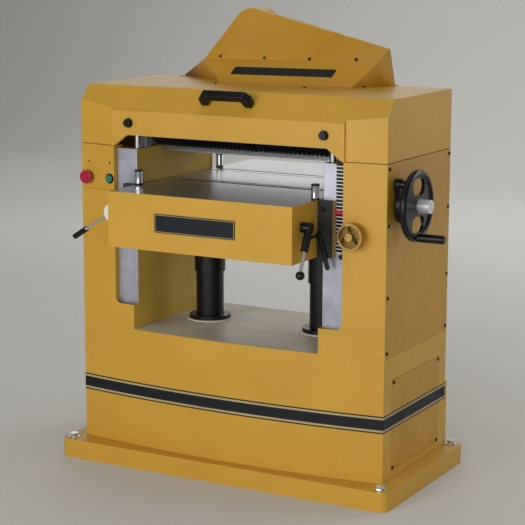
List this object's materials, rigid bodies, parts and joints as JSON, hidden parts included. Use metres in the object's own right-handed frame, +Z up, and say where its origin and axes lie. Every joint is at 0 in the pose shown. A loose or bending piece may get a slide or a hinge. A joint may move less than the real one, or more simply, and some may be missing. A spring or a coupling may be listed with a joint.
{
  "type": "thickness planer",
  "caption": "Wide cabinet thickness planer: bowed cabinet on a base plate, rising table in a throat between two columns, hinged hood with dust chute, handwheel at the right.",
  "frame": {"origin": "on the floor, under the centre of the base plate", "axes": "+X to the right seen from the infeed side, +Y from infeed to outfeed, +Z up"},
  "size_m": [1.187, 0.8555, 1.3455],
  "materials": {
    "cabinet_paint": "semi-gloss, light orange peel",
    "side_paint": "semi-gloss, light orange peel",
    "cream_paint": "satin",
    "black_paint": "satin",
    "motor_paint": "semi-gloss",
    "gearbox_paint": "painted casting",
    "machined_iron": "machined",
    "guide_iron": "dark oiled casting",
    "ground_steel": "ground, fine lengthwise lay",
    "chrome": "polished",
    "black_plastic": "moulded",
    "red_plastic": "moulded",
    "green_plastic": "moulded",
    "pointer_red": "gloss",
    "scale_plate": "anodised plate with dark graduations",
    "belt_rubber": "matt",
    "chain_steel": "oiled",
    "brass": "polished, slightly worn"
  },
  "bodies": {
    "frame": {"base_plate": "cabinet_paint", "levelling_bolts": "chrome", "lower_cabinet": "cabinet_paint", "deck_plate": "cream_paint", "columns": "side_paint", "pillar_covers": "cabinet_paint", "control_panel": "cabinet_paint", "side_covers": "side_paint", "access_panels": "side_paint", "cover_screws": "black_paint", "rear_cover": "cabinet_paint", "bearing_blocks": "machined_iron", "cutterhead_bearings": "ground_steel", "roller_springs": "ground_steel", "chip_breaker": "machined_iron", "pressure_bar": "machined_iron", "motor": "motor_paint", "drive_belts": "belt_rubber", "gearbox": "gearbox_paint", "feed_chain": "chain_steel", "lift_chain": "chain_steel", "column_sleeves": "black_paint", "way_scale": "scale_plate", "handwheel_bracket": "black_paint", "hood_hinges": "ground_steel"},
    "hood": {"hood_shell": "cabinet_paint", "hood_front_panel": "cabinet_paint", "dust_chute": "side_paint", "dust_port": "side_paint", "hood_handle": "black_plastic"},
    "left_hood_lock": {"left_hood_lock": "black_paint"},
    "right_hood_lock": {"right_hood_lock": "black_paint"},
    "table": {"table": "ground_steel", "table_guides": "guide_iron", "depth_pointer": "pointer_red", "lift_tubes": "black_paint"},
    "cutterhead": {"cutterhead": "ground_steel"},
    "motor_rotor": {"motor_pulley": "machined_iron"},
    "infeed_roller": {"infeed_roller": "ground_steel"},
    "outfeed_roller": {"outfeed_roller": "ground_steel"},
    "gearbox_output": {"gearbox_sprocket": "machined_iron"},
    "kickback_fingers": {"kickback_fingers": "black_paint"},
    "handwheel": {"handwheel": "black_plastic"},
    "crank_grip": {"crank_grip": "black_plastic"},
    "lift_shaft": {"lift_shaft": "ground_steel"},
    "left_lift_screw": {"left_lift_screw": "ground_steel"},
    "right_lift_screw": {"right_lift_screw": "ground_steel"},
    "stop_button": {"stop_button": "red_plastic"},
    "start_button": {"start_button": "green_plastic"},
    "feed_speed_wheel": {"feed_speed_wheel": "brass"},
    "dial_lock_knob": {"dial_lock_knob": "black_plastic"},
    "bed_roller_lever": {"bed_roller_lever": "chrome"},
    "table_lock_lever": {"table_lock_lever": "black_plastic"},
    "gib_lock_lever": {"gib_lock_lever": "black_paint"},
    "front_bed_roller": {"front_bed_roller": "chrome"},
    "rear_bed_roller": {"rear_bed_roller": "chrome"},
    "edge_roller_front_left": {"edge_roller_front_left": "chrome"},
    "edge_roller_front_right": {"edge_roller_front_right": "chrome"},
    "edge_roller_rear_left": {"edge_roller_rear_left": "chrome"},
    "edge_roller_rear_right": {"edge_roller_rear_right": "chrome"}
  },
  "joints": [
    {"name": "hood_hinge", "type": "hinge", "parent": "frame", "child": "hood", "pos_m": [0, 0.237, 0.953], "axis": [-1, 0, 0], "range_deg": [0, 62]},
    {"name": "left_hood_lock_turn", "type": "hinge", "parent": "hood", "child": "left_hood_lock", "pos_m": [-0.318, -0.235, 1.026], "axis": [0, 1, 0], "continuous": true},
    {"name": "right_hood_lock_turn", "type": "hinge", "parent": "hood", "child": "right_hood_lock", "pos_m": [0.318, -0.235, 1.026], "axis": [0, 1, 0], "continuous": true},
    {"name": "handwheel_turn", "type": "hinge", "parent": "frame", "child": "handwheel", "pos_m": [0.551, -0.12, 0.836], "axis": [1, 0, 0], "range_deg": [-10080, 7020]},
    {"name": "crank_grip_spin", "type": "hinge", "parent": "handwheel", "child": "crank_grip", "pos_m": [0.6, -0.137, 0.751], "axis": [1, 0, 0], "continuous": true},
    {"name": "lift_shaft_turn", "type": "hinge", "parent": "frame", "child": "lift_shaft", "pos_m": [0.44, -0.12, 0.6], "axis": [0, 0, 1], "range_deg": [-10080, 7020]},
    {"name": "left_lift_screw_turn", "type": "hinge", "parent": "frame", "child": "left_lift_screw", "pos_m": [-0.195, 0.025, 0.5], "axis": [0, 0, 1], "range_deg": [-10080, 7020]},
    {"name": "right_lift_screw_turn", "type": "hinge", "parent": "frame", "child": "right_lift_screw", "pos_m": [0.195, 0.025, 0.5], "axis": [0, 0, 1], "range_deg": [-10080, 7020]},
    {"name": "table_lift", "type": "slide", "parent": "frame", "child": "table", "axis": [0, 0, 1], "range_m": [-0.112, 0.078]},
    {"name": "front_bed_roller_spin", "type": "hinge", "parent": "table", "child": "front_bed_roller", "pos_m": [0, -0.045, 0.8263], "axis": [1, 0, 0], "continuous": true},
    {"name": "rear_bed_roller_spin", "type": "hinge", "parent": "table", "child": "rear_bed_roller", "pos_m": [0, 0.195, 0.8263], "axis": [1, 0, 0], "continuous": true},
    {"name": "edge_roller_front_left_spin", "type": "hinge", "parent": "table", "child": "edge_roller_front_left", "pos_m": [-0.29, -0.221, 0.868], "axis": [0, 0, 1], "continuous": true},
    {"name": "edge_roller_front_right_spin", "type": "hinge", "parent": "table", "child": "edge_roller_front_right", "pos_m": [0.29, -0.221, 0.868], "axis": [0, 0, 1], "continuous": true},
    {"name": "edge_roller_rear_left_spin", "type": "hinge", "parent": "table", "child": "edge_roller_rear_left", "pos_m": [-0.29, 0.245, 0.868], "axis": [0, 0, 1], "continuous": true},
    {"name": "edge_roller_rear_right_spin", "type": "hinge", "parent": "table", "child": "edge_roller_rear_right", "pos_m": [0.29, 0.245, 0.868], "axis": [0, 0, 1], "continuous": true},
    {"name": "bed_roller_lever_swing", "type": "hinge", "parent": "table", "child": "bed_roller_lever", "pos_m": [-0.308, -0.344, 0.775], "axis": [0, 1, 0], "range_deg": [-15, 50]},
    {"name": "table_lock_lever_swing", "type": "hinge", "parent": "table", "child": "table_lock_lever", "pos_m": [0.324, -0.324, 0.785], "axis": [1, 0, 0], "range_deg": [-60, 40]},
    {"name": "gib_lock_lever_swing", "type": "hinge", "parent": "table", "child": "gib_lock_lever", "pos_m": [0.306, -0.27, 0.75], "axis": [0, 1, 0], "range_deg": [-14, 18]},
    {"name": "cutterhead_spin", "type": "hinge", "parent": "frame", "child": "cutterhead", "pos_m": [0, 0.075, 0.98], "axis": [1, 0, 0], "continuous": true},
    {"name": "motor_spin", "type": "hinge", "parent": "frame", "child": "motor_rotor", "pos_m": [-0.44, 0.075, 0.19], "axis": [1, 0, 0], "continuous": true},
    {"name": "infeed_roller_spin", "type": "hinge", "parent": "frame", "child": "infeed_roller", "pos_m": [0, -0.045, 0.967], "axis": [1, 0, 0], "continuous": true},
    {"name": "outfeed_roller_spin", "type": "hinge", "parent": "frame", "child": "outfeed_roller", "pos_m": [0, 0.186, 0.967], "axis": [1, 0, 0], "continuous": true},
    {"name": "gearbox_output_spin", "type": "hinge", "parent": "frame", "child": "gearbox_output", "pos_m": [0.449, 0.01, 0.74], "axis": [1, 0, 0], "continuous": true},
    {"name": "kickback_swing", "type": "hinge", "parent": "frame", "child": "kickback_fingers", "pos_m": [0, -0.135, 0.985], "axis": [1, 0, 0], "range_deg": [0, 45]},
    {"name": "stop_button_press", "type": "slide", "parent": "frame", "child": "stop_button", "axis": [0, 1, 0], "range_m": [0, 0.005], "stiffness_N_per_m": 600},
    {"name": "start_button_press", "type": "slide", "parent": "frame", "child": "start_button", "axis": [0, 1, 0], "range_m": [0, 0.004], "stiffness_N_per_m": 600},
    {"name": "feed_speed_turn", "type": "hinge", "parent": "frame", "child": "feed_speed_wheel", "pos_m": [0.408, -0.24, 0.755], "axis": [0, 1, 0], "range_deg": [-45, 45]},
    {"name": "dial_lock_turn", "type": "hinge", "parent": "frame", "child": "dial_lock_knob", "pos_m": [0.525, -0.16, 0.898], "axis": [1, 0, 0], "continuous": true}
  ],
  "couplings": [
    {"joint": "handwheel_turn", "follows": "table_lift", "rad_per_m": 1570.8},
    {"joint": "lift_shaft_turn", "follows": "table_lift", "rad_per_m": 1570.8},
    {"joint": "left_lift_screw_turn", "follows": "table_lift", "rad_per_m": 1570.8},
    {"joint": "right_lift_screw_turn", "follows": "table_lift", "rad_per_m": 1570.8},
    {"joint": "motor_spin", "follows": "cutterhead_spin", "ratio": 0.66154},
    {"joint": "outfeed_roller_spin", "follows": "infeed_roller_spin", "ratio": 1},
    {"joint": "gearbox_output_spin", "follows": "infeed_roller_spin", "ratio": 1}
  ]
}
